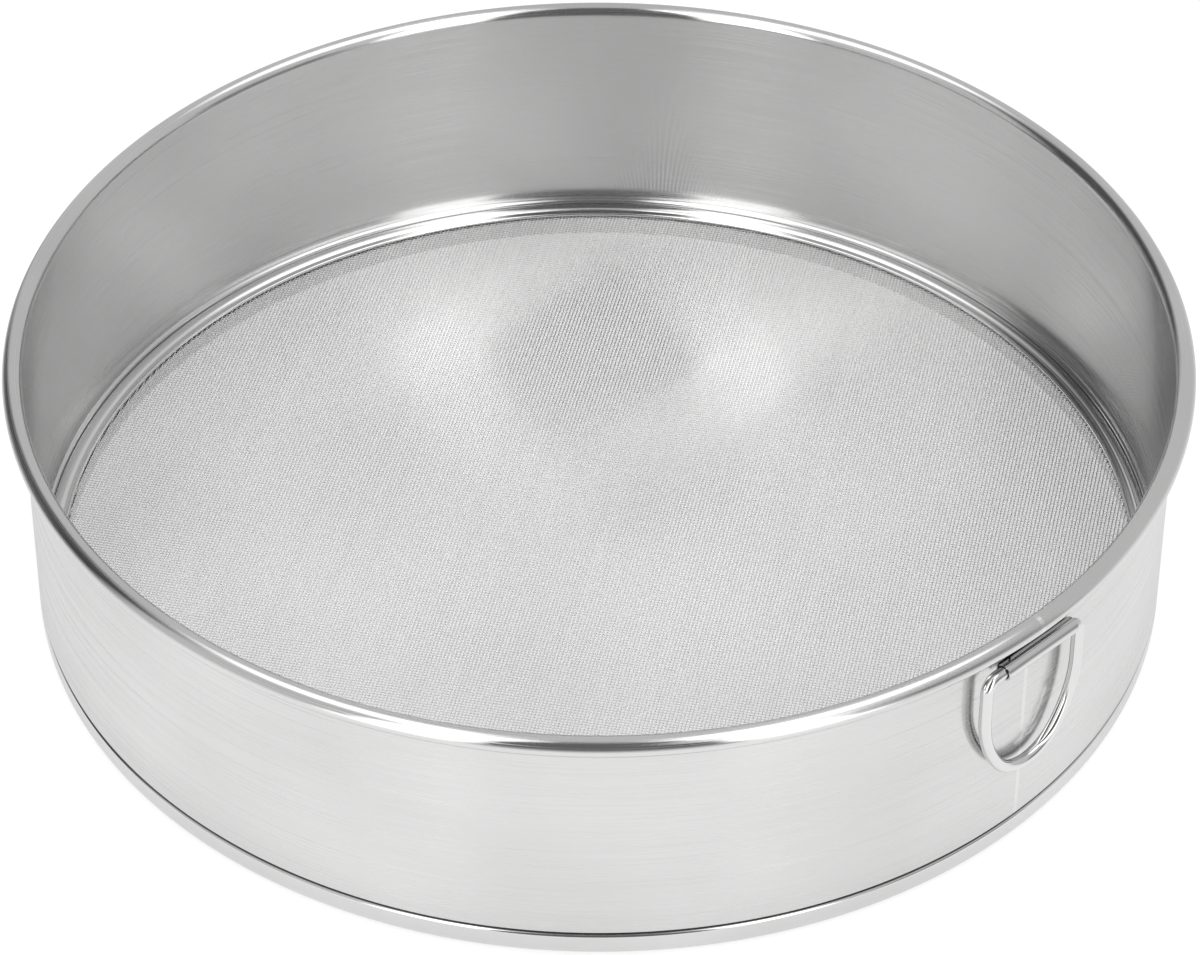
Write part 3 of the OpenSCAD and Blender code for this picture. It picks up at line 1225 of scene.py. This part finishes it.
@dataclass
class Studio:
    """White studio: floor, surroundings with light and dark panels, and the camera."""

    camera_azimuth: float = -44.4
    camera_elevation: float = 39.85
    camera_distance: float = 1.243
    camera_roll: float = 0.138
    target_z: float = 0.035
    lens: float = 145.04
    shift: tuple[float, float] = (0.001, -0.0192)
    floor_size: float = 8.0
    floor_drop: float = 0.05 * MM
    paper_tone: float = 0.9
    shown_white: float = 0.74
    white_level: float = 1.15
    under_share: tuple[float, float] = (0.5, 0.44)
    under_edge: tuple[float, float] = (0.09, 0.13)
    outer_edge: tuple[float, float] = (0.138, 0.146)
    contact_edge: tuple[float, float] = (0.146, 0.162)
    table_tone: tuple[float, float] = (0.85, 1.22)
    table_ramp: tuple[float, float] = (-0.5, 0.6)
    table_edge: tuple[float, float] = (0.26, 0.46)
    plain_tone: float = 0.68
    panels: tuple[Panel, ...] = (
        Panel(90, 68, 58, 82, 2.2),
        Panel(-92, 64, 58, 80, 2.05),
        Panel(-118, 27, -20, 50, 0.09, 12),
        Panel(66, 15, -30, 20, 0.25, 8),
        Panel(0, 26, -30, 84, 0.16, 8),
        Panel(-30, 10, -45, 78, 3.0, 5),
        Panel(32, 10, -60, 64, 2.8, 5),
    )

    def toward(self, azimuth: float, elevation: float) -> Vector:
        """Finds the way to a place in the studio.

        Args:
            azimuth: The place's azimuth from the camera's, in degrees.
            elevation: Its elevation in degrees.

        Returns:
            Unit vector that points there.
        """
        turn = math.radians(self.camera_azimuth + azimuth)
        rise = math.radians(elevation)
        return Vector((math.sin(turn) * math.cos(rise), -math.cos(turn) * math.cos(rise), math.sin(rise)))

    def build(self) -> None:
        """Builds everything round the sieve."""
        surroundings = self._surroundings()
        self._camera()
        self._world(surroundings)
        self._floor(surroundings)

    def _camera(self) -> None:
        """Places the camera where the photograph was taken from."""
        data = bpy.data.cameras.new("camera")
        data.lens = self.lens
        data.shift_x, data.shift_y = self.shift
        camera = bpy.data.objects.new("camera", data)
        bpy.context.scene.collection.objects.link(camera)
        target = Vector((0, 0, self.target_z))
        back = self.toward(0, self.camera_elevation)
        aim = (-back).to_track_quat("-Z", "Y").to_matrix()
        turned = aim @ Matrix.Rotation(math.radians(self.camera_roll), 3, "Z")
        camera.matrix_world = Matrix.Translation(target + back * self.camera_distance) @ turned.to_4x4()
        bpy.context.scene.camera = camera

    def _surroundings(self) -> NodeTree:
        """Makes the studio's tones: a plain grey with every panel laid over it in turn.

        Returns:
            The group, which takes a direction and puts out the tone seen there.
        """
        group, bench, (direction,), result = SharedEffects.new_group("studio panels", ("Direction",), "Tone")
        ways = (self.toward(90, 0), self.toward(0, 0), Z_AXIS)
        right, ahead, up = (bench.facing(direction, way) for way in ways)
        azimuth = bench.math("DEGREES", bench.math("ARCTAN2", right, ahead))
        elevation = bench.math("DEGREES", bench.math("ARCSINE", up))
        tone = None
        for panel in self.panels:
            aside = bench.math("ABSOLUTE", bench.math("SUBTRACT", azimuth, panel.azimuth))
            half = panel.blur / 2
            cover = bench.spread(aside, panel.half_width - half, panel.half_width + half, 1, 0)
            above = bench.spread(elevation, panel.low - half, panel.low + half, 0, 1)
            below = bench.spread(elevation, panel.high - half, panel.high + half, 1, 0)
            cover = bench.math("MULTIPLY", bench.math("MULTIPLY", cover, above), below)
            laid = bench.add("ShaderNodeMix", data_type="FLOAT")
            bench.join(cover, laid.inputs["Factor"])
            if tone is None:
                laid.inputs["A"].default_value = self.plain_tone
            else:
                bench.join(tone, laid.inputs["A"])
            laid.inputs["B"].default_value = panel.tone
            tone = laid.outputs["Result"]
        bench.join(tone, result)
        return group

    def _seen(self, bench: NodeBench, rays: Node) -> NodeSocket:
        """Tells rays that see a thing itself, straight or through glass, from those that only light it."""
        return bench.math("MAXIMUM", rays.outputs["Is Camera Ray"], rays.outputs["Is Transmission Ray"])

    def _world(self, surroundings: NodeTree) -> None:
        """Sets a white background for the camera, and the studio's panels for all other light.

        Args:
            surroundings: The studio's tones.
        """
        world = bpy.data.worlds.new("studio")
        bpy.context.scene.world = world
        world.use_nodes = True
        bench = NodeBench(world.node_tree)
        world.node_tree.nodes.clear()
        rays = bench.add("ShaderNodeLightPath")
        direction = bench.add("ShaderNodeTexCoord").outputs["Generated"]
        lit = bench.add("ShaderNodeBackground")
        bench.join(bench.effect(surroundings, direction), lit.inputs["Color"])
        white = bench.add("ShaderNodeBackground")
        white.inputs["Color"].default_value = (1, 1, 1, 1)
        mix = bench.mix_shaders(self._seen(bench, rays), lit, white)
        output = bench.add("ShaderNodeOutputWorld")
        bench.join(mix.outputs[0], output.inputs["Surface"])

    def _floor(self, surroundings: NodeTree) -> None:
        """Lays the pale floor that shows white and keeps the sieve's shadow.

        Args:
            surroundings: The studio's tones.
        """
        bm = bmesh.new()
        bmesh.ops.create_grid(bm, x_segments=1, y_segments=1, size=self.floor_size / 2,
                              matrix=Matrix.Translation((0, 0, -self.floor_drop)))
        mesh = bpy.data.meshes.new("floor")
        bm.to_mesh(mesh)
        bm.free()
        floor = bpy.data.objects.new("floor", mesh)
        bpy.context.scene.collection.objects.link(floor)
        mesh.materials.append(self._floor_paper(surroundings))

    def _floor_paper(self, surroundings: NodeTree) -> Material:
        """Makes white paper, which metal sees as a white table that ends in the studio's panels.

        Args:
            surroundings: The studio's tones.

        Returns:
            The floor's material.
        """
        material = bpy.data.materials.new("white floor")
        material.use_nodes = True
        bench = NodeBench(material.node_tree)
        material.node_tree.nodes.clear()
        rays = bench.add("ShaderNodeLightPath")
        place = bench.add("ShaderNodeTexCoord").outputs["Object"]
        measure = bench.add("ShaderNodeVectorMath", operation="LENGTH")
        bench.join(place, measure.inputs[0])
        reach = measure.outputs["Value"]
        under = bench.spread(reach, *self.under_edge, *self.under_share)
        paper = bench.add("ShaderNodeBsdfDiffuse")
        paper.inputs["Color"].default_value = (self.paper_tone, self.paper_tone, self.paper_tone, 1)
        white = bench.add("ShaderNodeEmission")
        white.inputs["Color"].default_value = (1, 1, 1, 1)
        white.inputs["Strength"].default_value = self.white_level
        level = self._beyond(bench, reach, self.outer_edge, under)
        shown = bench.mix_shaders(bench.math("MULTIPLY", self._seen(bench, rays), level), paper, white)
        table = bench.add("ShaderNodeMix", data_type="FLOAT")
        bench.join(bench.spread(reach, *self.table_edge, 0, 1), table.inputs["Factor"])
        toward_camera = bench.facing(place, self.toward(0, 0))
        bench.join(bench.spread(toward_camera, *self.table_ramp, *self.table_tone), table.inputs["A"])
        bench.join(bench.effect(surroundings, place), table.inputs["B"])
        mirrored = bench.add("ShaderNodeEmission")
        bench.join(table.outputs["Result"], mirrored.inputs["Color"])
        near = self._beyond(bench, reach, self.contact_edge, under)
        mix = bench.mix_shaders(bench.math("MULTIPLY", rays.outputs["Is Glossy Ray"], near), shown, mirrored)
        output = bench.add("ShaderNodeOutputMaterial")
        bench.join(mix.outputs[0], output.inputs["Surface"])
        return material

    def _beyond(self, bench: NodeBench, reach: NodeSocket, edge: tuple[float, float],
                under: NodeSocket) -> NodeSocket:
        """Finds the share of plain white on the floor.

        Args:
            bench: The floor material's bench.
            reach: Distance from the sieve's middle.
            edge: Distances between which the share rises.
            under: Share inside the edge.

        Returns:
            The share, which is the shown white's beyond the edge.
        """
        node = bench.spread(reach, *edge, 0, self.shown_white).node
        bench.join(under, node.inputs["To Min"])
        return node.outputs["Result"]


def main() -> None:
    """Builds the sieve piece by piece round the frame, then its studio."""
    logging.basicConfig(level=logging.INFO, format="%(name)s: %(message)s")
    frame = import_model()
    bpy.context.scene.view_settings.view_transform = "Standard"
    shell = DrumShell.from_frame()
    screen = WireScreen.from_frame()
    steel = Steel.mix(screen)
    shell.build(frame, steel)
    FootRing.from_frame(shell).build(steel)
    InnerRing.from_frame().build(steel)
    screen.build(frame, steel)
    RingClip.from_frame(frame).build(frame, steel)
    HangingRing.from_frame(frame).build(steel)
    Studio().build()


if __name__ == "__main__":
    main()
